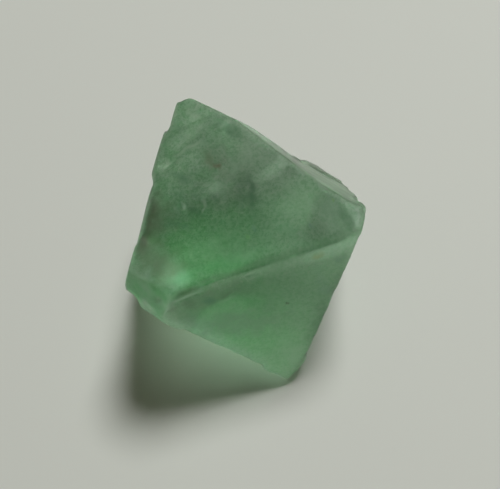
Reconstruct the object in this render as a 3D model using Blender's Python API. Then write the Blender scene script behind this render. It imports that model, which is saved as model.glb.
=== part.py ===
# A cleaved octahedron of green fluorite, lying on one of its faces.
# Metres, +Z up. The origin is on the floor, under the middle of the crystal.
import math
import random

import bmesh
import bpy
from mathutils import Matrix, Vector

MM = 0.001

# The crystal: a regular octahedron whose eight cleavage faces each stopped a little early or late.
EDGE = 20.0 * MM
INRADIUS = EDGE / math.sqrt(6.0)
SIDE_LIFT = math.degrees(math.asin(1.0 / 3.0))
LIFTS = {"flat_up": 90.0, "flat_down": -90.0, "up": SIDE_LIFT, "down": -SIDE_LIFT}
RISER_LEAN = math.radians(19.5)
BLANK = 3.0 * EDGE
SLIVER = 0.002 * MM

# Each face: azimuth in degrees, up or down, and how far it lies outside the regular face, in mm.
FACES = {
    "top": (0.0, "flat_up", -0.457),
    "bottom": (0.0, "flat_down", 0.0),
    "front": (270.0, "up", 0.132),
    "right_back": (30.0, "up", 0.290),
    "left_back": (150.0, "up", 0.556),
    "under_back": (90.0, "down", -0.280),
    "under_left": (210.0, "down", -0.300),
    "under_right": (330.0, "down", 0.057),
}

# Corners worn flat: azimuth and lift of the worn facet in degrees, and its distance from the middle in mm.
WORN_CORNERS = {
    "left_front": (221.4, 39.0, 11.52),
    "left_side": (192.9, 5.6, 11.05),
    "back_top": (41.0, 22.0, 9.40),
    "back_left": (131.0, 29.2, 11.75),
    "right": (4.0, 7.0, 10.95),
    "right_lower": (331.6, -7.3, 10.30),
    "tip_right": (308.6, -14.1, 10.22),
    "tip_below": (270.0, -62.0, 12.05),
    "left_under": (170.0, -8.0, 11.60),
    "rear_under": (62.0, -12.0, 12.30),
}

# Plates left standing on a face. Sides are (u, v, heading) on that face, in mm and degrees.
PLATES = {
    "left_plate": {
        "face": "left_back", "rise": 0.40, "overhang": -0.04, "root": 1.0,
        "sides": [(-5.6, 5.2, 150.0), (-1.0, 5.2, -30.0), (-3.4, -1.5, -90.0)],
    },
    "left_low_plate": {
        "face": "left_back", "rise": 0.22, "overhang": -0.04, "root": 1.0,
        "sides": [(-3.6, -1.0, 150.0), (1.4, -1.6, 30.0), (-1.0, -7.4, -90.0), (-2.0, 1.0, 90.0)],
    },
    "left_corner_plate": {
        "face": "under_left", "rise": 0.32, "overhang": 0.36, "root": 0.15,
        "sides": [(1.5, 6.3, -90.0), (-1.6, 7.0, 150.0)],
    },
    "tip_plate": {
        "face": "under_left", "rise": 0.34, "overhang": -0.04, "root": 1.0,
        "sides": [(7.5, -2.6, 150.0)],
    },
}
# The plate at the right corner thickens to the right and upwards, so its own face is turned a little.
CORNER_PLATE = {"azimuth": 35.4, "lift": 23.9, "through": (8.12, 7.11, 4.62), "riser": (2.3, -6.0, 29.0),
                "root": 1.0, "lip": 0.25}
PLATE_SETBACK = 0.03

# Ledges: pieces that split away along the cleavage. Depth, at the first side's point, and places are in mm
# on each face. A tilt is the heading in which the floor rises and its slope. Where a ledge goes round a
# tongue of standing crystal, the tongue's sides are listed too.
LEDGES = [
    # front face, under the ridge
    {"face": "front", "depth": 0.14, "sides": [(2.8, 5.2, -26.0), (0.6, 0.5, -128.0)]},
    {"face": "front", "depth": 0.12, "sides": [(-1.8, 4.0, 0.0)],
     "tongue": [(-2.8, 2.32, -76.0), (-4.5, 1.65, -60.0), (-5.7, 0.6, -38.0)]},
    {"face": "front", "depth": 0.08, "sides": [(0.4, 4.75, 90.0), (-0.2, 4.5, -60.0), (-2.6, 4.6, 180.0)]},
    {"face": "front", "depth": 0.07, "sides": [(1.4, -9.0, 150.0), (0.2, -8.2, 90.0)]},
    # the notch under the ridge, whose floor slopes inwards
    {"face": "front", "depth": 0.44, "tilt": (90.0, 26.0),
     "sides": [(-5.0, 4.2, -95.0), (-5.95, 4.9, 170.0), (-3.9, 4.8, -30.0)]},
    # top face
    {"face": "top", "depth": 0.15, "tilt": (-20.0, 1.6), "sides": [(-2.0, 6.1, -72.5)]},
    {"face": "top", "depth": 0.10, "tilt": (-60.0, 2.0), "sides": [(-3.9, 4.6, -60.0), (-5.2, 3.0, -150.0)]},
    {"face": "top", "depth": 0.06, "tilt": (100.0, 1.5), "sides": [(6.6, -3.2, -162.0)]},
    {"face": "top", "depth": 0.10, "sides": [(-5.0, -5.04, 91.0), (-3.9, -5.5, 0.0)]},
    # right back face
    {"face": "right_back", "depth": 0.30, "sides": [(5.8, 3.0, 180.0), (6.0, 0.5, -120.0)]},
    {"face": "right_back", "depth": 0.22, "sides": [(-2.0, -7.2, 90.0), (1.0, -8.0, 30.0)]},
    {"face": "right_back", "depth": 0.15,
     "sides": [(-1.2, -2.0, 150.0), (-0.5, -3.0, 90.0), (-4.5, -5.0, -90.0)]},
    # left back face
    {"face": "left_back", "depth": 0.32, "sides": [(5.0, 1.5, 180.0), (4.0, -1.8, 120.0)]},
    {"face": "left_back", "depth": 0.20, "sides": [(-4.8, -3.6, 30.0), (-4.4, -2.0, 90.0)]},
    {"face": "left_back", "depth": 0.18, "sides": [(0.5, 3.4, 180.0), (2.6, 2.4, -90.0), (4.5, 4.0, 0.0)]},
    # under back face
    {"face": "under_back", "depth": 0.35, "sides": [(3.6, -1.5, 180.0), (3.0, 1.5, 120.0)]},
    {"face": "under_back", "depth": 0.24, "sides": [(-3.0, -4.8, 0.0), (-4.6, -3.4, 60.0)]},
    {"face": "under_back", "depth": 0.15, "sides": [(-1.5, 2.2, 0.0), (-1.0, 0.4, -90.0), (-2.0, 5.6, 60.0)]},
    # under left face
    {"face": "under_left", "depth": 0.25, "sides": [(-4.6, -1.6, 60.0), (-0.6, -4.2, 0.0)]},
    {"face": "under_left", "depth": 0.16, "sides": [(-1.0, -2.6, 90.0), (2.4, -3.0, 30.0)]},
    # under right face
    {"face": "under_right", "depth": 0.26,
     "sides": [(-1.5, -2.0, -150.0), (0.5, -0.8, 90.0), (3.4, -2.0, 30.0)]},
    {"face": "under_right", "depth": 0.14, "sides": [(-1.2, 3.0, 150.0), (0.2, 1.2, -90.0), (1.2, 2.4, 30.0)]},
    # bottom face, round the flat on which it rests
    {"face": "bottom", "depth": 0.25, "sides": [(-3.5, 6.2, -90.0), (2.0, 6.3, -90.0)]},
    {"face": "bottom", "depth": 0.30, "sides": [(6.1, -2.0, 150.0), (6.3, -3.0, 120.0)]},
]
TONGUE_STEP = 0.015
CLEAR_OUT = 2.0

# Shell-shaped chips knocked out of the edges: how far apart they lie and their sizes, in mm.
CHIP_LAYERS = {
    "large_chips": {"seed": 11, "spacing": 6.0, "radius": (1.0, 3.2), "bite": (0.05, 0.27)},
    "small_chips": {"seed": 29, "spacing": 3.0, "radius": (0.35, 1.1), "bite": (0.04, 0.15)},
}
SHORTEST_CHIPPED_EDGE = 2.5 * MM
CHIP_STRETCH = 1.5
CHIP_UNEVENNESS = 0.05

# Single chips and pits: face, place on it, how far in they reach, their half sizes along u, v and out, all
# in mm, and how far they are turned on the face, in degrees.
HOLLOWS = {
    "left_edge_scoop": ("top", (-7.3, 0.3), 0.26, (1.1, 2.9, 1.0), 30.0),
    "lower_edge_chip": ("front", (-5.3, -3.3), 0.34, (2.6, 0.9, 1.2), -60.0),
    "corner_pit": ("top", (-7.63, -5.78), 1.38, (0.45, 0.35, 0.45), 20.0),
    "top_pit": ("top", (-2.68, 3.59), 0.22, (0.45, 0.32, 0.35), 40.0),
    "small_top_pit": ("top", (-3.3, 0.85), 0.14, (0.30, 0.22, 0.25), 0.0),
    "middle_pit": ("top", (-1.6, 0.95), 0.12, (0.22, 0.30, 0.22), 10.0),
    "right_pit": ("top", (7.3, -1.7), 0.12, (0.50, 0.30, 0.30), -30.0),
    "front_pit": ("front", (2.9, -0.6), 0.12, (0.20, 0.20, 0.20), 0.0),
    "tip_pit": ("front", (0.6, -9.2), 0.12, (0.45, 0.20, 0.24), 25.0),
    "rear_scoop": ("under_back", (1.2, -3.5), 0.30, (2.0, 1.3, 1.4), 35.0),
    "left_scoop": ("under_left", (0.8, 2.6), 0.25, (1.6, 1.1, 1.2), -20.0),
    "right_scoop": ("under_right", (0.2, -2.2), 0.28, (1.4, 2.0, 1.3), 15.0),
    "right_back_scoop": ("right_back", (3.6, -1.0), 0.24, (1.2, 1.8, 1.2), -15.0),
}


def direction(azimuth, lift):
    a = math.radians(azimuth)
    b = math.radians(lift)
    return Vector((math.cos(a) * math.cos(b), math.sin(a) * math.cos(b), math.sin(b)))


def face_normal(name):
    azimuth, way, offset = FACES[name]
    return direction(azimuth, LIFTS[way])


def face_distance(name):
    return INRADIUS + FACES[name][2] * MM


CENTRE = Vector((0.0, 0.0, face_distance("bottom")))


def face_frame(name):
    # u runs level along the face, v runs up it, and w points out of it
    w = face_normal(name)
    u = Vector((0.0, 0.0, 1.0)).cross(w)
    u = Vector((1.0, 0.0, 0.0)) if u.length < 0.001 else u.normalized()
    v = w.cross(u)
    frame = Matrix((u, v, w)).transposed().to_4x4()
    frame.translation = CENTRE + w * face_distance(name)
    return frame


def on_face(name, u, v, out=0.0):
    return face_frame(name) @ Vector((u * MM, v * MM, out * MM))


def add_object(name, bm, collection):
    mesh = bpy.data.meshes.new(name)
    bm.to_mesh(mesh)
    bm.free()
    made = bpy.data.objects.new(name, mesh)
    collection.objects.link(made)
    return made


def block(name, planes, collection):
    # a closed block: what is left of a big cube behind every (point, normal) plane
    bm = bmesh.new()
    bmesh.ops.create_cube(bm, size=BLANK)
    bmesh.ops.translate(bm, verts=bm.verts, vec=CENTRE)
    for point, normal in planes:
        cut = bmesh.ops.bisect_plane(
            bm,
            geom=bm.verts[:] + bm.edges[:] + bm.faces[:],
            dist=0.001 * MM,
            plane_co=point,
            plane_no=normal,
            clear_outer=True,
        )
        rim = [item for item in cut["geom_cut"] if isinstance(item, bmesh.types.BMEdge)]
        if rim:
            bmesh.ops.edgeloop_fill(bm, edges=rim)
    bmesh.ops.recalc_face_normals(bm, faces=bm.faces)
    return add_object(name, bm, collection)


def side_plane(face, u, v, heading, sense):
    # a riser on a face, leaning as cleavage does. sense is 1 for a ledge and -1 for a plate
    frame = face_frame(face).to_3x3()
    a = math.radians(heading)
    level = Vector((math.cos(a), math.sin(a), 0.0)) * math.cos(RISER_LEAN)
    normal = frame @ (level - Vector((0.0, 0.0, math.sin(RISER_LEAN) * sense)))
    return on_face(face, u, v), normal


def whole_crystal(collection):
    planes = []
    for name in FACES:
        planes.append((CENTRE + face_normal(name) * face_distance(name), face_normal(name)))
    for azimuth, lift, distance in WORN_CORNERS.values():
        out = direction(azimuth, lift)
        planes.append((CENTRE + out * distance * MM, out))
    return block("crystal", planes, collection)


def bounds(free_faces, overhang):
    # the planes that hold a plate inside the other faces, and at a distance from the worn corners
    planes = []
    for name in FACES:
        if name not in free_faces:
            planes.append((on_face(name, 0.0, 0.0, -PLATE_SETBACK), face_normal(name)))
    for azimuth, lift, distance in WORN_CORNERS.values():
        out = direction(azimuth, lift)
        planes.append((CENTRE + out * (distance + overhang) * MM, out))
    return planes


def add_plates(collection):
    for name, plate in PLATES.items():
        face = plate["face"]
        out = face_normal(face)
        planes = [(on_face(face, 0.0, 0.0, plate["rise"]), out)]
        planes.append((on_face(face, 0.0, 0.0, -plate["root"]), -out))
        planes.extend(bounds((face,), plate["overhang"]))
        for u, v, heading in plate["sides"]:
            planes.append(side_plane(face, u, v, heading, -1.0))
        block(name, planes, collection)
    own_face = direction(CORNER_PLATE["azimuth"], CORNER_PLATE["lift"])
    planes = [(Vector(CORNER_PLATE["through"]) * MM, own_face)]
    planes.append((on_face("right_back", 0.0, 0.0, -CORNER_PLATE["root"]), -face_normal("right_back")))
    planes.append((on_face("under_right", 0.0, 0.0, CORNER_PLATE["lip"]), face_normal("under_right")))
    planes.extend(bounds(("right_back", "under_right"), -PLATE_SETBACK))
    planes.append(side_plane("right_back", *CORNER_PLATE["riser"], -1.0))
    block("corner_plate", planes, collection)


def ledge_floor(ledge, deeper):
    face = ledge["face"]
    heading, slope = (math.radians(angle) for angle in ledge.get("tilt", (0.0, 0.0)))
    side_u, side_v, _ = (ledge["sides"] + ledge.get("tongue", []))[0]
    rise = Vector((math.cos(heading), math.sin(heading), 0.0)) * math.sin(slope)
    down = face_frame(face).to_3x3() @ (rise - Vector((0.0, 0.0, math.cos(slope))))
    return on_face(face, side_u, side_v, -ledge["depth"] - deeper), down


def add_ledges(collection):
    for number, ledge in enumerate(LEDGES):
        face = ledge["face"]
        sides = [side_plane(face, u, v, heading, 1.0) for u, v, heading in ledge["sides"]]
        sides.append((on_face(face, 0.0, 0.0, CLEAR_OUT), face_normal(face)))
        tongue = [side_plane(face, u, v, heading, 1.0) for u, v, heading in ledge.get("tongue", [])]
        if not tongue:
            block(f"ledge_{number}", sides + [ledge_floor(ledge, 0.0)], collection)
        for step, flank in enumerate(tongue):
            floor = ledge_floor(ledge, step * TONGUE_STEP)
            block(f"ledge_{number}_{step}", sides + [floor, flank], collection)


def scoop(name, place, axes, half_sizes, dice, collection):
    # a lump whose underside leaves a shell-shaped hollow. axes are its own u, v and out
    bm = bmesh.new()
    bmesh.ops.create_icosphere(bm, subdivisions=2, radius=1.0)
    for vert in bm.verts:
        vert.co *= 1.0 + dice.uniform(-CHIP_UNEVENNESS, CHIP_UNEVENNESS)
    turn = Matrix.Rotation(dice.uniform(0.0, math.tau), 4, "Z")
    size = Matrix.Diagonal((*half_sizes, 1.0))
    bmesh.ops.transform(bm, matrix=Matrix.Translation(place) @ axes.to_4x4() @ size @ turn, verts=bm.verts)
    return add_object(name, bm, collection)


def add_hollows(collection):
    dice = random.Random(5)
    for name, (face, (u, v), reach, sizes, turn) in HOLLOWS.items():
        axes = face_frame(face).to_3x3() @ Matrix.Rotation(math.radians(turn), 3, "Z")
        half_sizes = [size * MM for size in sizes]
        place = on_face(face, u, v, sizes[2] - reach)
        scoop(name, place, axes, half_sizes, dice, collection)


def crystal_edges(crystal):
    # every long edge of the whole crystal, as its two ends and the way straight out of it
    bm = bmesh.new()
    bm.from_mesh(crystal.data)
    found = []
    for edge in bm.edges:
        if edge.calc_length() < SHORTEST_CHIPPED_EDGE:
            continue
        out = (edge.link_faces[0].normal + edge.link_faces[1].normal).normalized()
        found.append((edge.verts[0].co.copy(), edge.verts[1].co.copy(), out))
    bm.free()
    return found


def add_chips(crystal, collection):
    edges = crystal_edges(crystal)
    for layer_name, layer in CHIP_LAYERS.items():
        dice = random.Random(layer["seed"])
        for start, end, out in edges:
            along = (end - start).normalized()
            axes = Matrix((along, out.cross(along), out)).transposed()
            length = (end - start).length / MM
            count = int(length / layer["spacing"] + dice.random())
            for number in range(count):
                share = (number + dice.uniform(-0.3, 1.3)) / count
                if share < 0.02 or share > 0.98:
                    continue
                radius = dice.uniform(*layer["radius"])
                bite = dice.uniform(*layer["bite"])
                place = start.lerp(end, share) + out * (radius - bite) * MM
                sizes = [radius * CHIP_STRETCH * MM, radius * MM, radius * MM]
                tip = Matrix.Rotation(dice.uniform(-0.25, 0.25), 3, "Y")
                scoop(layer_name, place, axes @ tip, sizes, dice, collection)


def cut_with(crystal, name, operation, cutters):
    boolean = crystal.modifiers.new(name, "BOOLEAN")
    boolean.operation = operation
    boolean.operand_type = "COLLECTION"
    boolean.collection = cutters
    boolean.solver = "EXACT"


def fluorite_material():
    material = bpy.data.materials.new("green fluorite")
    material.use_nodes = True
    shader = material.node_tree.nodes["Principled BSDF"]
    shader.inputs["Base Color"].default_value = (0.30, 0.62, 0.38, 1.0)
    shader.inputs["Roughness"].default_value = 0.28
    shader.inputs["Metallic"].default_value = 0.0
    shader.inputs["IOR"].default_value = 1.434
    shader.inputs["Transmission Weight"].default_value = 0.85
    return material


def new_collection(name, parent):
    made = bpy.data.collections.new(name)
    parent.children.link(made)
    return made


def main():
    for old in list(bpy.data.objects):
        bpy.data.objects.remove(old, do_unlink=True)
    scene = bpy.context.scene
    parts = new_collection("fluorite octahedron", scene.collection)
    cutters = new_collection("cutters", scene.collection)
    plates = new_collection("plates", cutters)
    ledges = new_collection("ledges", cutters)
    chips = new_collection("chips", cutters)

    crystal = whole_crystal(parts)
    crystal.data.materials.append(fluorite_material())
    add_plates(plates)
    add_ledges(ledges)
    add_hollows(chips)
    add_chips(crystal, chips)
    cut_with(crystal, "standing plates", "UNION", plates)
    cut_with(crystal, "split ledges", "DIFFERENCE", ledges)
    cut_with(crystal, "chips and pits", "DIFFERENCE", chips)
    weld = crystal.modifiers.new("weld slivers", "WELD")
    weld.merge_threshold = SLIVER
    for cutter in cutters.all_objects:
        cutter.hide_render = True
        cutter.display_type = "WIRE"


main()
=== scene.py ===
import math

import bmesh
import bpy
import numpy as np
from mathutils import Matrix, Vector, noise


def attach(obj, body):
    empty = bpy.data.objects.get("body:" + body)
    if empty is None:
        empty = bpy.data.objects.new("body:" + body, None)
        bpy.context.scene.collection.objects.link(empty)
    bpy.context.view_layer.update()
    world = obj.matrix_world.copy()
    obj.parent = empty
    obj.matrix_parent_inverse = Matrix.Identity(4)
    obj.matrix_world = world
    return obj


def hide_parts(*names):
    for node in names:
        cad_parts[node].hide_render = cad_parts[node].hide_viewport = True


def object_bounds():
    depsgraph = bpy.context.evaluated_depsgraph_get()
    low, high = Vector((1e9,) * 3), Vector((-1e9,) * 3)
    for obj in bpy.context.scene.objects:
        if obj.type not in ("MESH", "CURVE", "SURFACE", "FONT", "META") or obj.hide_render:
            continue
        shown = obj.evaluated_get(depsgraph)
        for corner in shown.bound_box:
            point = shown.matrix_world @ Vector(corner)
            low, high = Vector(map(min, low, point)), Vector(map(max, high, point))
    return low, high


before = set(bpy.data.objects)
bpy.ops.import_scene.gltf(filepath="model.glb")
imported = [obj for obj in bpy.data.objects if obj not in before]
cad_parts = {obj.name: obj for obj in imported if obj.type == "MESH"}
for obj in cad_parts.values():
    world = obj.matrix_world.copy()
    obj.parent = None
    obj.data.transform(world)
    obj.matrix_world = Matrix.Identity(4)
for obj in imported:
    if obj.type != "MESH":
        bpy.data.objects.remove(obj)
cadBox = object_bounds()
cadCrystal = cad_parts["crystal"]
mm = 0.001
perMetre = 1000      # millimetres in a metre
noise.seed_set(8)    # vector noise follows this seed: without it each run would wander differently
print("frame loaded")


def addNode(tree, kind, place, settings=None, values=None):
    made = tree.nodes.new(kind)
    made.location = place
    for name, value in (settings or {}).items():
        setattr(made, name, value)
    for name, value in (values or {}).items():
        made.inputs[name].default_value = value
    return made


def feed(tree, socket, source):
    if isinstance(source, bpy.types.NodeSocket):
        tree.links.new(source, socket)
    else:
        socket.default_value = source


def newMaterial(name):
    made = bpy.data.materials.new(name)
    made.use_nodes = True
    made.node_tree.nodes.clear()
    return made


def meshPiece(name, bm, material):
    mesh = bpy.data.meshes.new(name)
    bm.to_mesh(mesh)
    bm.free()
    mesh.materials.append(material)
    piece = bpy.data.objects.new(name, mesh)
    bpy.context.scene.collection.objects.link(piece)
    return piece


crystalShape = {
    "mergeWithin": 0.0005,     # mm, closer corners of the plain solid are one
    "voxel": 0.142,            # mm, size of the fine mesh
    "quickTimes": 2,
    "easePasses": 3,           # passes that ease the whole surface
    "easeShare": 0.5,          # how far one pass moves a point towards its neighbours' middle
    "pushed": [                # place in mm, reach in mm, how far in mm
        ((1.2, -10.5, 1.6), 1.9, (0.45, 0.0, 0.0)),
        ((10.1, -3.5, 14.6), 1.1, (0.2, 0.14, 0.1)),
        ((9.9, -4.8, 15.8), 1.4, (0.06, 0.0, 0.2)),
    ],
    "rounded": [               # place in mm, reach in mm, passes: corners and creases rubbed softer
        ((1.0, -6.7, 14.2), 3.0, 30),
        ((4.6, -6.1, 15.9), 3.2, 24),
        ((7.4, -6.1, 15.7), 1.8, 20),
        ((-4.9, -5.9, 15.5), 1.5, 30),
        ((-9.35, -4.7, 14.2), 1.1, 30),
        ((-0.6, 10.2, 15.5), 1.2, 8),
        ((0.0, -11.2, 1.0), 1.6, 10),
        ((-4.9, 4.5, 15.5), 1.4, 25),
        ((-2.7, 7.9, 15.5), 1.5, 40),
        ((-2.75, 8.3, 15.6), 0.8, 40),
        ((-2.68, 3.59, 15.9), 0.9, 40),
    ],
    "roundedShare": 0.6,       # the same for a rubbed place
    "roundedSpread": 1.3,      # in reaches, where the rubbing ends; it is full up to 1 less
    "wobble": 0.07,            # mm, how far straight ledge lines wander
    "wobbleReach": 1.6,
    "wobbleFiner": 0.35,       # the finer wander's reach, as a share of the main one
    "wobbleFinerShare": 0.4,
    "wobbleLift": 0.25,        # how much of the wander lifts a face
    "ripple": 0.004,           # mm, fine unevenness of a cleaved face
    "rippleReach": 0.9,
    "rippleDetail": (1.0, 2.0, 3),    # fractal increment, lacunarity and octaves
    "rippleMiddle": 0.4,
    "wearPasses": 14,          # passes that round the copy an edge is compared with
    "wearHeight": 0.11,        # mm, how far a fully worn edge stands proud of what is round it
    "edgeChips": 0.20,         # mm, deepest wear along an edge
    "edgeChipReach": 0.9,
    "edgeChipShift": (3, 9, 4),
    "edgeChipBase": 0.05,      # spreads the chips a little wider than the noise alone
}

topFill = {                    # fills the chips along the top face's right edge
    "across": (0.866, 0.5),    # the way towards that edge
    "from": 2.6,               # mm along it
    "run": 0.8,                # mm until the fill is full
    "share": 0.9,
    "depth": 1.0,              # mm, deepest chip that is filled
    "facingUp": 0.6,           # least upward part of a normal there
}

plainFaces = {                 # the top and front faces are flatter than the others
    "relief": 0.12,            # as a share of the others
    "topFacing": 0.9,
    "frontFacing": 0.8,        # least forward and upward parts of the front face's normal
    "frontRising": 0.2,
}

terraces = {                   # low cleavage steps on the other faces
    "depth": 0.006,            # mm, height of one step
    "run": 5.0,                # mm, how far a terrace runs level
    "rise": 0.9,
    "steps": 2.2,
    "breakReach": 1.4,         # mm, smaller breaks in their lines
    "breakShift": (0.3, 0.6, 0.4),
    "breakShare": 0.3,
    "slope": 0.45,             # share of a step that slopes
    "middle": 1.5,
    "levelFrom": 0.9,          # faces flatter than this run along X
    "facePattern": (3, 7, 0.37),    # gives each face a pattern of its own
}


def fineCopy(cad, shape):
    bm = bmesh.new()
    bm.from_mesh(cad.data)
    bmesh.ops.remove_doubles(bm, verts=bm.verts, dist=shape["mergeWithin"] * mm)
    # millimetres while it is worked
    bmesh.ops.scale(bm, vec=Vector((perMetre, perMetre, perMetre)), verts=bm.verts)
    rough = bpy.data.meshes.new("roughCrystal")
    bm.to_mesh(rough)
    bm.clear()
    work = bpy.data.objects.new("roughCrystal", rough)
    bpy.context.scene.collection.objects.link(work)
    remesh = work.modifiers.new("evenMesh", "REMESH")
    remesh.mode = "VOXEL"
    remesh.voxel_size = shape["voxel"] * 1
    bm.from_object(work, bpy.context.evaluated_depsgraph_get())
    bpy.data.objects.remove(work)
    bpy.data.meshes.remove(rough)
    return bm


def fillChips(bm, fill):
    bm.normal_update()
    top = max(v.co.z for v in bm.verts)
    for v in bm.verts:
        past = v.co.x * fill["across"][0] + v.co.y * fill["across"][1] - fill["from"]
        if past > 0 and v.normal.z > fill["facingUp"] and v.co.z > top - fill["depth"]:
            v.co.z += (top - v.co.z) * min(1, past / fill["run"]) * fill["share"]


def neighbours(bm):
    bm.verts.index_update()
    ends = np.array([[v.index for v in e.verts] for e in bm.edges])
    count = np.bincount(ends.ravel(), minlength=len(bm.verts))

    def average(values):
        sums = np.empty_like(values)
        for axis in range(3):
            sums[:, axis] = np.bincount(ends[:, 0], values[ends[:, 1], axis], len(count))
            sums[:, axis] += np.bincount(ends[:, 1], values[ends[:, 0], axis], len(count))
        return sums / count[:, None]

    return average


def nearness(place, middle, reach, full=1.0):
    far = np.linalg.norm(place - np.array(middle), axis=1) / reach
    return np.clip(full - far, 0, 1)[:, None]


def easeSurface(bm, shape, box):
    average = neighbours(bm)
    place = np.array([v.co for v in bm.verts])
    for again in range(shape["easePasses"]):
        place += (average(place) - place) * shape["easeShare"]
    for middle, reach, push in shape["pushed"]:
        share = nearness(place, middle, reach)
        place += np.array(push) * share * share * (3 - 2 * share)
    place = np.clip(place, np.array(box[0]) * perMetre, np.array(box[1]) * perMetre)
    for middle, reach, times in shape["rounded"]:
        share = nearness(place, middle, reach, shape["roundedSpread"])
        for again in range(times):
            place += (average(place) - place) * shape["roundedShare"] * share
    for v, at in zip(bm.verts, place):
        v.co = at


def markWear(bm, shape):
    bm.normal_update()
    average = neighbours(bm)
    place = np.array([v.co for v in bm.verts])
    rounded = place.copy()
    for again in range(shape["wearPasses"]):
        rounded = average(rounded)
    proud = ((place - rounded) * np.array([v.normal for v in bm.verts])).sum(axis=1)
    wear = bm.verts.layers.float.new("edgeWear")
    for v, value in zip(bm.verts, np.clip(proud / shape["wearHeight"], 0, 1)):
        v[wear] = value


def isPlain(normal, plain):
    top = normal.z > plain["topFacing"]
    front = normal.y < -plain["frontFacing"] and normal.z > plain["frontRising"]
    return top or front


def terraceHeight(p, n, step):
    level = Vector((-n.y, n.x, 0)) if abs(n.z) < step["levelFrom"] else Vector((1, 0, 0))
    level.normalize()
    rise = n.cross(level)
    byX, byY, start = step["facePattern"]
    pattern = n.x * byX + n.y * byY + start
    at = Vector((p.dot(level) / step["run"], p.dot(rise) / step["rise"], pattern))
    breaks = noise.noise(p / step["breakReach"] + Vector(step["breakShift"]))
    height = noise.noise(at) * step["steps"] + breaks * step["breakShare"]
    part = height - math.floor(height)
    return math.floor(height) + min(1.0, part / step["slope"]) - step["middle"]


def weather(bm, shape, plain, step):
    bm.normal_update()
    wear = bm.verts.layers.float["edgeWear"]
    finerReach = shape["wobbleReach"] * shape["wobbleFiner"]
    moves = []
    for v in bm.verts:
        p, n = v.co, v.normal
        flat = isPlain(n, plain)
        relief = plain["relief"] if flat else 1.0
        wander = noise.noise_vector(p / shape["wobbleReach"]) * shape["wobble"]
        wander += noise.noise_vector(p / finerReach) * shape["wobble"] * shape["wobbleFinerShare"]
        move = wander - n * wander.dot(n) * (1 - shape["wobbleLift"] * relief)
        if not flat:
            move += n * terraceHeight(p, n, step) * step["depth"]
        ripple = noise.fractal(p / shape["rippleReach"], *shape["rippleDetail"]) - shape["rippleMiddle"]
        move += n * ripple * shape["ripple"] * relief
        chipAt = p / shape["edgeChipReach"] + Vector(shape["edgeChipShift"])
        chip = max(0.0, noise.noise(chipAt) + shape["edgeChipBase"])
        move -= n * chip * v[wear] * v[wear] * shape["edgeChips"]
        moves.append(move)
    for v, move in zip(bm.verts, moves):
        v.co += move


def fitBox(bm, low, high):
    for axis in range(3):
        values = [v.co[axis] for v in bm.verts]
        least, most = min(values), max(values)
        factor = (high[axis] - low[axis]) * perMetre / (most - least)
        for v in bm.verts:
            v.co[axis] = low[axis] * perMetre + (v.co[axis] - least) * factor


crystalFinish = newMaterial("fluorite")
bm = fineCopy(cadCrystal, crystalShape)
print("fine mesh", len(bm.verts), len(bm.faces))
fillChips(bm, topFill)
markWear(bm, crystalShape)
easeSurface(bm, crystalShape, cadBox)
weather(bm, crystalShape, plainFaces, terraces)
fitBox(bm, *cadBox)
bmesh.ops.scale(bm, vec=Vector((mm, mm, mm)), verts=bm.verts)
crystal = meshPiece("fluorite_crystal", bm, crystalFinish)
crystal.data.shade_smooth()
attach(crystal, "root")
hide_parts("crystal")
print("crystal surface made")


crystalGlass = {
    "refraction": 1.434,
    "clearness": 0.97,
    "absorbColor": (0.42, 0.94, 0.64, 1),
    "absorbDensity": 28.0,
    "roughness": (0.30, 0.38),             # clear places, cloudy places
    "green": (0.57, 0.71, 0.60, 1),
    "paleGreen": (0.79, 0.82, 0.76, 1),
    "clearGreen": (0.91, 1.0, 0.89, 1),    # towards the right and on the sides
    "clearing": 0.8,
    "clearsAlongX": (-3.0, 6.0),           # mm, where the clearing starts and ends
    "clearsDown": (15.4, 12.0),            # mm of height
    "mottleTone": (0.52, 0.78, 0.53, 1),
    "mottle": (0.95, 0.2),                 # on the dull side, where it has cleared
    "grain": (0.5, 0.3),
    "freckleTone": (0.46, 0.62, 0.48, 1),
    "freckles": (0.95, 0.5),               # on the top face, on the front face
    "topHeights": (15.2, 15.7),            # mm, where the top face's freckles fade in
    "frontDepths": (-5.9, -6.4),           # mm along Y, the front face's
    "restTone": (0.48, 0.67, 0.49, 1),     # the dull face it rests on
    "restClearing": 0.7,
    "restHeights": (0.9, 0.35),            # mm
    "restFront": (-4.0, -8.0),             # mm along Y, where it clears towards the front
    "wispLevel": 0.5,                      # noise value that a wisp follows
    "wispWidth": 0.028,                    # how far from it the wisp still shows
    "wispStrength": 0.5,
    "speckStrength": 0.6,
    "edgeFrost": 0.35,
    "frostWear": (0.25, 1.0),              # wear at which the frost starts and is full
    "edgeRoughness": 0.3,
    "roughWear": (0.1, 0.8),
    "veilRoughness": 0.2,
    "veilTones": (0.2, 0.9),               # blue of a tone from which a stroke roughens, and in full
    "bumpHeight": 0.005,                   # mm
    "bumpStrength": 0.6,
}

crystalNoises = {
    # name: (scale per mm, detail, roughness, distortion)
    "clouds": (1 / 5.0, 5, 0.6, 0.8),
    "mottle": (1 / 1.3, 6, 0.65, 0.4),
    "grain": (2.4, 5, 0.75, 0.0),
    "freckles": (2.9, 6, 0.8, 0.3),
    "wispLines": (0.42, 4, 0.5, 1.2),
    "wispPlaces": (0.3, 3, 0.5, 0.0),
    "specks": (3.2, 3, 0.6, 0.0),
    "pits": (2.6, 3, 0.6, 0.0),
}

crystalPatches = {
    # the noise values at which each of them starts to show and shows in full
    "clouds": (0.32, 0.68),
    "mottle": (0.3, 0.72),
    "grain": (0.36, 0.66),
    "freckles": (0.42, 0.6),
    "wispPlaces": (0.5, 0.64),
    "specks": (0.6, 0.72),
}

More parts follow.
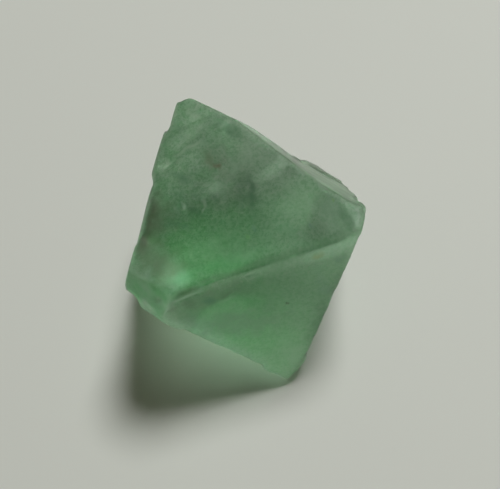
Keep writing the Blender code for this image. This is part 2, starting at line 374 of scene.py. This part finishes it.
crystalTones = {
    "deep": (0.12, 0.28, 0.16, 1),
    "umber": (0.11, 0.06, 0.05, 1),
    "slate": (0.24, 0.36, 0.36, 1),
    "brown": (0.37, 0.31, 0.25, 1),
    "rust": (0.30, 0.14, 0.08, 1),
    "gold": (0.75, 0.52, 0.20, 1),
    "pale": (0.88, 0.92, 0.82, 1),
    "white": (1.0, 1.0, 0.97, 1),
    "mist": (0.88, 0.80, 0.82, 1),
    "leaf": (0.80, 1.0, 0.82, 1),
    "emerald": (0.48, 0.88, 0.58, 1),
    "lime": (0.62, 0.92, 0.36, 1),
    "blue": (0.48, 0.62, 0.68, 1),
    "dusk": (0.68, 0.50, 0.64, 1),
}

markFaces = {
    # a place on the face in mm, the way across, the way along
    "top": ((0, 0, 15.87), (1, 0, 0), (0, 1, 0)),
    "front": ((0, -6.08, 15.87), (1, 0, 0), (0, -0.333, -0.943)),
    "corner": ((-8.2, -4.8, 15.0), (0.661, -0.750, 0), (0.472, 0.416, 0.777)),
}

markBrush = {
    "broadFrom": 0.6,      # mm, half width from which a stroke is broad
    "fineDepth": 0.6,      # mm, how deep a stroke reaches into the relief
    "broadDepth": 1.1,
    "endReach": 0.6,       # how far a stroke runs past its ends, in half widths
    "waverScale": 0.9,     # per mm
    "waverDetail": 4,
}

crystalMarks = {
    # name: (from, to, half width in mm, tone, strength, softness, raggedness in mm)
    "top": {        # x and y on the level top face
        "tealCorner": ((-1.55, 9.5), (-1.6, 7.95), 0.6, "deep", 0.45, 1.0, 0.5),
        "cornerSpeckleA": ((-0.4, 9.7), (0.45, 8.5), 0.45, "pale", 0.55, 1.0, 0.9),
        "cornerSpeckleB": ((-0.7, 7.8), (0.5, 7.55), 0.3, "pale", 0.45, 1.0, 0.7),
        "darkUpperEdge": ((1.3, 8.0), (3.2, 5.6), 0.8, "deep", 0.8, 1.0, 0.6),
        "oliveZone": ((-0.25, 5.65), (1.15, 3.05), 1.1, "brown", 0.38, 1.0, 0.8),
        "rustSpot": ((0.3, 3.9), (0.4, 3.25), 0.22, "rust", 0.85, 0.9, 0.35),
        "rustHalo": ((-0.15, 4.6), (0.25, 3.6), 0.35, "rust", 0.3, 1.0, 0.5),
        "stepLine": ((-2.75, 5.75), (-0.05, 6.65), 0.15, "pale", 0.9, 0.8, 0.25),
        "stepLineLow": ((-4.5, 4.75), (-2.9, 5.7), 0.14, "pale", 0.5, 0.9, 0.3),
        "leftPale": ((-3.45, 7.8), (-4.45, 5.3), 0.35, "pale", 0.15, 1.0, 0.7),
        "paleBandTop": ((3.85, 5.6), (2.65, 2.65), 0.7, "pale", 0.42, 1.0, 0.8),
        "paleBandLow": ((2.0, 2.9), (0.85, 0.8), 0.45, "pale", 0.36, 1.0, 0.7),
        "paleUpperRight": ((4.3, 3.6), (5.45, 1.55), 0.7, "pale", 0.3, 1.0, 0.9),
        "paleStreak": ((-1.15, 2.35), (0.0, 2.15), 0.15, "pale", 0.4, 0.9, 0.3),
        "darkSpotLeft": ((-3.3, 4.3), (-2.35, 3.15), 0.45, "deep", 0.8, 1.0, 0.3),
        "darkSpotMid": ((-0.75, 1.55), (-0.65, 0.45), 0.3, "deep", 0.55, 0.9, 0.35),
        "darkBand": ((2.45, 1.75), (2.05, -1.0), 0.45, "deep", 0.95, 1.0, 0.45),
        "darkBandWide": ((1.95, 1.35), (1.95, -2.5), 0.9, "deep", 0.5, 1.0, 0.8),
        # painted glints: small white highlights on the top face
        "glintA": ((-1.55, 1.1), (-1.55, 0.2), 0.11, "white", 1.0, 0.7, 0.15),
        "glintA2": ((-1.6, 0.2), (-2.1, -0.05), 0.1, "white", 1.0, 0.7, 0.15),
        "glintB": ((-3.15, 1.7), (-3.25, 0.5), 0.13, "white", 0.9, 0.8, 0.25),
        "glintC": ((-4.1, 1.4), (-4.05, 1.0), 0.09, "white", 0.8, 0.7, 0.1),
        "glintWeb": ((-4.0, 0.95), (-2.0, 0.6), 0.14, "pale", 0.45, 1.0, 0.35),
        "darkUnderGlint": ((-2.95, 0.75), (-2.2, -0.1), 0.3, "deep", 0.9, 1.0, 0.3),
        "brownEdgeTop": ((-5.3, 2.85), (-6.55, 0.4), 0.7, "umber", 0.97, 1.0, 0.5),
        "brownEdgeLow": ((-6.55, 0.4), (-7.85, -1.75), 0.7, "umber", 0.95, 1.0, 0.5),
        "brownCore": ((-5.85, 1.7), (-7.1, -0.7), 0.26, "umber", 0.8, 1.0, 0.3),
        "brownWide": ((-4.9, 1.7), (-7.0, -2.25), 1.2, "brown", 0.72, 1.0, 0.8),
        "blueShade": ((-4.55, 0.0), (-3.35, -1.0), 0.35, "slate", 0.5, 1.0, 0.5),
        "wispLow": ((-3.7, -2.45), (-3.85, -4.55), 0.15, "pale", 0.5, 1.0, 0.35),
        # the glow strokes are painted light: light that comes back up through the crystal beside the ridge,
        # painted brighter green and white, with a darker stroke at its left end
        "glowLeft": ((-6.35, -3.6), (-3.8, -4.55), 0.75, "deep", 0.5, 1.0, 0.4),
        "glowMid": ((-3.9, -4.9), (0.6, -5.15), 0.8, "emerald", 0.5, 1.0, 0.4),
        "glowRise": ((-2.9, -4.35), (-0.85, -2.0), 1.05, "emerald", 0.2, 1.0, 0.8),
        "glowBright": ((-0.5, -4.9), (1.05, -4.85), 0.45, "leaf", 0.6, 1.0, 0.4),
        "limeSpeck": ((0.75, -3.35), (1.0, -3.8), 0.18, "lime", 0.6, 1.0, 0.3),
        "glowPale": ((-3.6, -3.0), (1.2, -4.2), 1.0, "white", 0.35, 1.0, 0.8),
        # painted shade: a thin dark line where the low step beside the ridge faces away from the lamp
        "thinStepShade": ((-6.15, -5.15), (-4.2, -5.05), 0.12, "deep", 1.0, 0.8, 0.12),
        "veilTop": ((5.1, -0.1), (5.65, -1.5), 0.4, "white", 0.34, 1.0, 0.7),
        "veilLow": ((6.2, -1.75), (6.2, -3.2), 0.24, "white", 0.36, 1.0, 0.5),
        "veilWide": ((4.9, -0.2), (6.15, -4.1), 1.0, "pale", 0.3, 1.0, 1.0),
        "blueSpeck": ((5.85, -4.3), (6.1, -4.65), 0.16, "blue", 0.6, 1.0, 0.2),
        "violetSpeck": ((1.5, -2.6), (1.65, -3.15), 0.16, "blue", 0.5, 1.0, 0.2),
        "leafRight": ((7.3, -2.2), (8.3, -5.4), 1.0, "leaf", 0.6, 1.0, 0.7),
        "leafMid": ((-0.2, 2.4), (0.5, 0.6), 0.5, "leaf", 0.45, 1.0, 0.6),
        "leafUpper": ((1.6, 3.7), (1.9, 2.2), 0.45, "leaf", 0.45, 1.0, 0.6),
        "darkRightA": ((7.45, -3.3), (7.85, -4.6), 0.4, "deep", 0.25, 1.0, 0.5),
        "darkRightB": ((8.55, -3.55), (8.55, -5.05), 0.3, "deep", 0.6, 1.0, 0.4),
        "limeDotRight": ((8.3, -2.8), (8.4, -3.05), 0.1, "lime", 0.9, 0.8, 0.12),
        "shadeB": ((9.0, -3.9), (9.5, -5.4), 0.8, "deep", 0.65, 1.0, 0.6),
        "rightRim": ((5.95, 2.3), (9.2, -3.6), 0.14, "white", 0.8, 0.9, 0.12),
        "paleDotB": ((8.05, -5.7), (8.25, -6.05), 0.13, "pale", 0.6, 0.9, 0.2),
        "tealRight": ((3.75, -3.2), (4.8, -5.25), 0.65, "emerald", 0.28, 1.0, 0.7),
        "shadeMid": ((2.6, -2.0), (3.2, -3.9), 0.65, "deep", 0.22, 1.0, 0.8),
        "leftRim": ((-5.85, 2.65), (-8.5, -1.85), 0.09, "white", 0.9, 0.8, 0.05),
        "lowLeftShade": ((-7.2, -2.2), (-5.6, -4.6), 1.6, "brown", 0.85, 1.0, 0.7),
        "centreShade": ((-2.0, -1.25), (1.95, -4.15), 1.35, "deep", 0.1, 1.0, 0.9),
        "topShade": ((-1.5, 8.25), (1.75, 3.85), 1.4, "deep", 0.16, 1.0, 0.9),
        # painted glow: the bright green left end of the glow beside the ridge
        "glowEnd": ((-6.0, -4.85), (-4.3, -5.1), 0.5, "emerald", 0.6, 1.0, 0.3),
    },
    "front": {        # x, and the way down the front face from its ridge
        # painted shade in the notch under the ridge, and a painted bright line on the notch's upward riser
        # below it
        "notchShade": ((-5.95, 0.5), (-4.3, 0.4), 0.35, "umber", 0.55, 0.7, 0.12),
        "notchLitRiser": ((-6.5, 1.0), (-4.15, 0.85), 0.13, "white", 0.95, 0.7, 0.08),
        "stepLineA": ((-3.35, 2.8), (-1.6, 2.7), 0.15, "white", 1.0, 0.8, 0.15),
        "stepLineB": ((-5.35, 4.2), (-3.35, 2.8), 0.14, "pale", 0.5, 0.9, 0.2),
        "boxLineA": ((-0.4, 0.8), (0.65, 0.7), 0.11, "pale", 0.8, 0.8, 0.1),
        "boxLineB": ((-0.35, 1.35), (0.55, 1.35), 0.1, "pale", 0.55, 0.8, 0.1),
        "boxDark": ((-0.35, 1.0), (0.4, 1.0), 0.12, "deep", 0.6, 0.8, 0.1),
        "darkSpotA": ((-3.95, 1.8), (-3.6, 2.4), 0.3, "deep", 0.7, 0.9, 0.3),
        "darkSpotB": ((-2.95, 2.2), (-2.05, 2.1), 0.3, "umber", 0.6, 0.9, 0.25),
        "shadeUnderRidge": ((-6.15, 2.35), (-1.25, 1.5), 1.1, "brown", 0.42, 1.0, 0.6),
        "shadeCorner": ((-7.2, 1.8), (-5.95, 3.85), 0.7, "brown", 0.35, 1.0, 0.5),
        "greenShade": ((-1.3, 2.3), (0.5, 5.2), 0.9, "deep", 0.3, 1.0, 0.7),
        "paleColumn": ((2.0, 0.7), (0.8, 4.0), 0.35, "pale", 0.38, 1.0, 0.5),
        "paleTopF": ((1.2, 0.5), (4.35, 0.65), 0.6, "pale", 0.25, 1.0, 0.7),
        "blackSpeck": ((2.0, 5.4), (2.2, 5.7), 0.1, "umber", 1.0, 0.7, 0.05),
        "rustPatch": ((5.3, 1.25), (5.9, 1.2), 0.4, "gold", 0.7, 1.0, 0.3),
        "blueEdge": ((7.05, 1.55), (7.35, 2.95), 0.4, "blue", 0.35, 1.0, 0.6),
        "blueShadeF": ((5.3, 3.2), (5.7, 8.1), 0.75, "blue", 0.25, 1.0, 0.9),
        "shadeRightF": ((5.65, 6.65), (3.05, 11.05), 0.6, "deep", 0.4, 1.0, 0.6),
        "paleLow": ((0.55, 10.8), (1.0, 14.3), 0.9, "white", 0.6, 1.0, 0.8),
        "paleLowSpot": ((0.75, 11.9), (0.8, 13.2), 0.3, "white", 0.25, 1.0, 0.4),
        "shadeLowLeft": ((-6.6, 3.4), (-3.2, 6.0), 1.3, "deep", 0.3, 1.0, 0.8),
        "duskLow": ((-5.6, 3.9), (0.6, 7.4), 1.9, "dusk", 0.7, 1.0, 0.8),
        "duskRidge": ((-6.4, 1.6), (-0.6, 2.6), 1.0, "dusk", 0.4, 1.0, 0.6),
        "shadeByB": ((4.6, 0.6), (9.5, 0.8), 0.9, "deep", 0.4, 1.0, 0.7),
        "oliveBlotchA": ((-7.3, 1.85), (-6.25, 1.5), 0.45, "umber", 0.45, 1.0, 0.3),
        "oliveBlotchB": ((-5.7, 0.95), (-5.15, 2.1), 0.35, "umber", 0.3, 1.0, 0.3),
        "slateSpotF": ((-3.95, 1.8), (-3.5, 2.6), 0.4, "slate", 0.7, 1.0, 0.3),
        "facetEdgeLine": ((-6.75, 0.8), (-7.7, 2.3), 0.1, "white", 0.9, 0.8, 0.08),
    },
    "corner": {        # across and up the worn facet at the left corner
        "facetPale": ((-1.1, 0.65), (1.5, -0.55), 1.2, "mist", 0.95, 1.0, 0.8),
        "facetPit": ((0.8, -0.45), (1.35, -0.65), 0.45, "umber", 0.45, 1.0, 0.25),
        "facetPitRim": ((1.55, -0.1), (1.95, -0.7), 0.2, "white", 0.55, 0.9, 0.2),
        "facetRim": ((-1.25, -1.2), (1.5, -1.6), 0.19, "pale", 0.75, 0.9, 0.2),
        "facetSpeckA": ((0.05, 0.9), (0.5, 0.6), 0.19, "white", 0.4, 1.0, 0.3),
        "facetSpeckB": ((1.65, 0.8), (2.15, 0.45), 0.18, "pale", 0.55, 1.0, 0.3),
    },
}


def paintMarks(piece, faces, marks, tones, brush):
    mesh = piece.data
    place = np.empty(len(mesh.vertices) * 3)
    mesh.vertices.foreach_get("co", place)
    place = place.reshape(-1, 3) * perMetre
    scale, detail = brush["waverScale"], brush["waverDetail"]
    waver = np.array([noise.turbulence_vector(Vector(p) * scale, detail, False) for p in place])
    stainsAndPaintedLight = np.zeros((len(place), 4))
    for face, drawn in marks.items():
        middle, across, along = (Vector(part) for part in faces[face])
        normal = across.cross(along).normalized()
        for start, end, halfWidth, tone, strength, softness, raggedness in drawn.values():
            start, end = (middle + across * x + along * y for x, y in (start, end))
            run = end - start
            axes = np.array([run.normalized(), normal.cross(run).normalized(), normal]).T
            depth = brush["fineDepth"] if halfWidth < brush["broadFrom"] else brush["broadDepth"]
            reach = np.array((run.length / 2 + halfWidth * brush["endReach"], halfWidth, depth))
            local = (place + waver * raggedness - np.array((start + end) / 2)) @ axes / reach
            far = np.linalg.norm(local, axis=1)
            # a stroke fades from 1 - softness to 1 + softness / 2 of its reach
            edge = np.clip((1 + softness / 2 - far) / (1.5 * softness), 0, 1)
            mask = (strength * edge * edge * (3 - 2 * edge))[:, None]
            # strokes of real stains and veils, and of painted glow, glints and shade, laid one over another
            stainsAndPaintedLight = stainsAndPaintedLight * (1 - mask) + np.array(tones[tone]) * mask
    layer = mesh.attributes.new("stainsAndPaintedLight", "FLOAT_COLOR", "POINT")
    layer.data.foreach_set("color", stainsAndPaintedLight.astype(np.float32).ravel())


def ramp(tree, place, source, span, start=0.0, end=1.0):
    made = addNode(tree, "ShaderNodeMapRange", place, {"interpolation_type": "SMOOTHSTEP"}, {
        "From Min": span[0], "From Max": span[1], "To Min": start, "To Max": end})
    feed(tree, made.inputs["Value"], source)
    return made.outputs["Result"]


def combine(tree, place, operation, first, second):
    made = addNode(tree, "ShaderNodeMath", place, {"operation": operation})
    feed(tree, made.inputs[0], first)
    feed(tree, made.inputs[1], second)
    return made.outputs["Value"]


def blend(tree, place, factor, first, second, way="MIX"):
    made = addNode(tree, "ShaderNodeMix", place, {"data_type": "RGBA", "blend_type": way})
    sockets = made.inputs[0], made.inputs[6], made.inputs[7]    # the factor and the two colors
    for socket, source in zip(sockets, (factor, first, second)):
        feed(tree, socket, source)
    return made.outputs[2]    # the blended color


def noiseAt(tree, place, where, name):
    scale, detail, rough, distortion = crystalNoises[name]
    made = addNode(tree, "ShaderNodeTexNoise", place, values={
        "Scale": scale, "Detail": detail, "Roughness": rough, "Distortion": distortion})
    feed(tree, made.inputs["Vector"], where)
    return made.outputs["Fac"]


def patches(tree, place, where, name, strength=1.0):
    x, y = place
    found = noiseAt(tree, (x - 200, y), where, name)
    return ramp(tree, place, found, crystalPatches[name], 0, strength)


def tintCrystal(tree, where, axes, cloudy, right, glass):
    color = blend(tree, (-1500, 500), cloudy, glass["green"], glass["paleGreen"])
    # the crystal clears towards its right and on its sides
    foot = ramp(tree, (-1500, 1100), axes["Z"], glass["clearsDown"])
    clear = combine(tree, (-1300, 1000), "MAXIMUM", right, foot)
    share = ramp(tree, (-1150, 1000), clear, (0, 1), 0, glass["clearing"])
    color = blend(tree, (-1150, 500), share, color, glass["clearGreen"])
    for name, x, y in (("mottle", -1000, 300), ("grain", -900, 100)):
        found = patches(tree, (x - 800, y), where, name)
        depth = ramp(tree, (x - 150, y + 1000), clear, (0, 1), *glass[name])
        patchy = combine(tree, (x, y), "MULTIPLY", found, depth)
        color = blend(tree, (x, 500), patchy, color, glass["mottleTone"], "MULTIPLY")
    return color


def freckle(tree, where, axes, color, glass):
    # the top face is freckled, and the front face a little
    top = ramp(tree, (-1350, -650), axes["Z"], glass["topHeights"], 0, glass["freckles"][0])
    front = ramp(tree, (-1350, -750), axes["Y"], glass["frontDepths"], 0, glass["freckles"][1])
    both = combine(tree, (-1150, -700), "MAXIMUM", top, front)
    found = patches(tree, (-1150, -850), where, "freckles")
    freckled = combine(tree, (-1000, -800), "MULTIPLY", both, found)
    return blend(tree, (-800, 500), freckled, color, glass["freckleTone"], "MULTIPLY")


def dullRest(tree, axes, right, color, glass):
    # the face it rests on is dull and darker, less so towards the right and the front
    front = ramp(tree, (-1500, 1300), axes["Y"], glass["restFront"])
    cleared = combine(tree, (-1300, 1300), "MAXIMUM", right, front)
    dull = ramp(tree, (-1150, 1400), cleared, (0, 1), 1, 1 - glass["restClearing"])
    low = ramp(tree, (-1150, 1200), axes["Z"], glass["restHeights"])
    rest = combine(tree, (-1000, 1300), "MULTIPLY", dull, low)
    return blend(tree, (-900, 700), rest, color, glass["restTone"], "MULTIPLY")


def paleDetails(tree, where, wear, color, glass, pale):
    # thin wisps in some places, fine specks and frosted, worn edges
    drawn = noiseAt(tree, (-2000, 0), where, "wispLines")
    aside = combine(tree, (-1800, 0), "SUBTRACT", drawn, glass["wispLevel"])
    away = combine(tree, (-1650, 0), "ABSOLUTE", aside, 0.0)
    line = ramp(tree, (-1500, 0), away, (glass["wispWidth"], 0.0))
    some = patches(tree, (-1500, -200), where, "wispPlaces", glass["wispStrength"])
    wisps = combine(tree, (-1300, 0), "MULTIPLY", line, some)
    color = blend(tree, (-1100, 400), wisps, color, pale)
    specks = patches(tree, (-1300, -400), where, "specks", glass["speckStrength"])
    color = blend(tree, (-900, 400), specks, color, pale)
    frost = ramp(tree, (-1300, -800), wear, glass["frostWear"], 0, glass["edgeFrost"])
    return blend(tree, (-700, 400), frost, color, pale)


def roughen(tree, cloudy, wear, stainsAndPaintedLight, glass):
    # cloudy places, pale strokes and worn edges are rougher than the clear crystal
    paleness = addNode(tree, "ShaderNodeSeparateColor", (-700, -100))
    feed(tree, paleness.inputs[0], stainsAndPaintedLight.outputs["Color"])
    veiled = ramp(tree, (-500, -100), paleness.outputs["Blue"], glass["veilTones"], 0, glass["veilRoughness"])
    rough = ramp(tree, (-500, -250), cloudy, (0, 1), *glass["roughness"])
    rougher = combine(tree, (-300, -200), "ADD", rough, veiled)
    worn = ramp(tree, (-500, -800), wear, glass["roughWear"], 0, glass["edgeRoughness"])
    return combine(tree, (-150, -200), "ADD", rougher, worn)


def finishCrystal(material, glass, tones):
    tree = material.node_tree
    coordinates = addNode(tree, "ShaderNodeTexCoord", (-2600, 0))
    inMm = addNode(tree, "ShaderNodeMapping", (-2400, 0), values={"Scale": (perMetre, perMetre, perMetre)})
    feed(tree, inMm.inputs["Vector"], coordinates.outputs["Object"])
    where = inMm.outputs["Vector"]
    split = addNode(tree, "ShaderNodeSeparateXYZ", (-1700, 900))
    feed(tree, split.inputs["Vector"], where)
    axes = split.outputs
    wear = addNode(tree, "ShaderNodeAttribute", (-2000, -800), {"attribute_name": "edgeWear"}).outputs["Fac"]
    stainsAndPaintedLight = addNode(tree, "ShaderNodeAttribute", (-1500, -1100), {"attribute_name": "stainsAndPaintedLight"})
    cloudy = patches(tree, (-1800, 600), where, "clouds")
    right = ramp(tree, (-1500, 900), axes["X"], glass["clearsAlongX"])

    color = tintCrystal(tree, where, axes, cloudy, right, glass)
    color = freckle(tree, where, axes, color, glass)
    color = dullRest(tree, axes, right, color, glass)
    color = paleDetails(tree, where, wear, color, glass, tones["pale"])
    # the strokes are laid over: what they cover goes, then their own tone is added; they hold real stains and
    # veils as well as painted glow, painted glints and painted shade lines
    color = blend(tree, (-500, 400), stainsAndPaintedLight.outputs["Alpha"], color, (0, 0, 0, 1))
    color = blend(tree, (-300, 400), 1.0, color, stainsAndPaintedLight.outputs["Color"], "ADD")

    shader = addNode(tree, "ShaderNodeBsdfPrincipled", (0, 0), values={
        "IOR": glass["refraction"],
        "Transmission Weight": glass["clearness"],
    })
    feed(tree, shader.inputs["Base Color"], color)
    feed(tree, shader.inputs["Roughness"], roughen(tree, cloudy, wear, stainsAndPaintedLight, glass))
    bump = addNode(tree, "ShaderNodeBump", (-300, -400), values={
        "Strength": glass["bumpStrength"],
        "Distance": glass["bumpHeight"] * mm,
    })
    feed(tree, bump.inputs["Height"], noiseAt(tree, (-700, -300), where, "pits"))
    feed(tree, shader.inputs["Normal"], bump.outputs["Normal"])
    soak = addNode(tree, "ShaderNodeVolumeAbsorption", (0, -500), values={
        "Color": glass["absorbColor"],
        "Density": glass["absorbDensity"],
    })
    out = addNode(tree, "ShaderNodeOutputMaterial", (400, 0))
    feed(tree, out.inputs["Surface"], shader.outputs["BSDF"])
    feed(tree, out.inputs["Volume"], soak.outputs["Volume"])


paintMarks(crystal, markFaces, crystalMarks, crystalTones, markBrush)
finishCrystal(crystalFinish, crystalGlass, crystalTones)
print("fluorite finish made")


stageLook = {
    "floorColor": (0.70, 0.725, 0.665, 1),
    "floorRoughness": 0.75,
    "floorSize": 4.0,          # m
    "floorGap": 0.00002,       # m below the crystal
    "lampDistance": 0.75,      # m
    "lampSize": 0.24,          # m
    "lampPower": 4.3,          # W
    "lampAzimuth": 35,         # degrees
    "lampElevation": 59.2,
    "skyColor": (1.0, 0.89, 0.61, 1),
    "skyStrength": 0.055,
}


def makeFloor(look):
    finish = newMaterial("pale_floor")
    tree = finish.node_tree
    shader = addNode(tree, "ShaderNodeBsdfPrincipled", (0, 0), values={
        "Base Color": look["floorColor"],
        "Roughness": look["floorRoughness"],
    })
    out = addNode(tree, "ShaderNodeOutputMaterial", (300, 0))
    feed(tree, out.inputs["Surface"], shader.outputs["BSDF"])
    bm = bmesh.new()
    bmesh.ops.create_grid(bm, x_segments=2, y_segments=2, size=look["floorSize"] / 2)
    bmesh.ops.translate(bm, vec=Vector((0, 0, -look["floorGap"])), verts=bm.verts)
    floor = meshPiece("floor", bm, finish)


def makeLights(look):
    azimuth, elevation = math.radians(look["lampAzimuth"]), math.radians(look["lampElevation"])
    toLamp = Vector((
        math.cos(azimuth) * math.cos(elevation),
        math.sin(azimuth) * math.cos(elevation),
        math.sin(elevation),
    ))
    lampData = bpy.data.lights.new("softLamp", "AREA")
    lampData.shape = "DISK"
    lampData.size = look["lampSize"]
    lampData.energy = look["lampPower"]
    lamp = bpy.data.objects.new("softLamp", lampData)
    lamp.location = toLamp * look["lampDistance"]
    lamp.rotation_mode = "QUATERNION"
    lamp.rotation_quaternion = toLamp.to_track_quat("Z", "Y")
    bpy.context.scene.collection.objects.link(lamp)
    world = bpy.data.worlds.new("softSky")
    world.use_nodes = True
    sky = world.node_tree.nodes["Background"]
    sky.inputs["Color"].default_value = look["skyColor"]
    sky.inputs["Strength"].default_value = look["skyStrength"]
    bpy.context.scene.world = world


cameraSetup = {
    "target": (0, 0, 8.167),   # mm, the crystal's middle
    "distance": 82.8,          # mm
    "elevation": 65.2,         # degrees
    "turn": 6.7,
    "roll": -25.4,
    "lens": 66.67,             # mm
    "sensor": 36,              # mm
    "shift": (0.0162, -0.0102),
    "nearest": 0.005,          # m, nothing closer is drawn
}


def makeCamera(setup):
    data = bpy.data.cameras.new("camera")
    data.lens = setup["lens"]
    data.sensor_width = setup["sensor"]
    data.shift_x, data.shift_y = setup["shift"]
    data.clip_start = setup["nearest"]
    camera = bpy.data.objects.new("camera", data)
    tilt = Matrix.Rotation(math.radians(90 - setup["elevation"]), 4, "X")
    aim = Matrix.Rotation(math.radians(setup["turn"]), 4, "Z") @ tilt
    back = aim @ Vector((0, 0, 1))
    middle = Vector(setup["target"]) * mm
    place = Matrix.Translation(middle + back * setup["distance"] * mm)
    camera.matrix_world = place @ aim @ Matrix.Rotation(math.radians(setup["roll"]), 4, "Z")
    bpy.context.scene.collection.objects.link(camera)
    bpy.context.scene.camera = camera


makeFloor(stageLook)
makeLights(stageLook)
makeCamera(cameraSetup)
bpy.context.scene.view_settings.view_transform = "Standard"
print("floor, light and camera set")

bpy.context.view_layer.update()
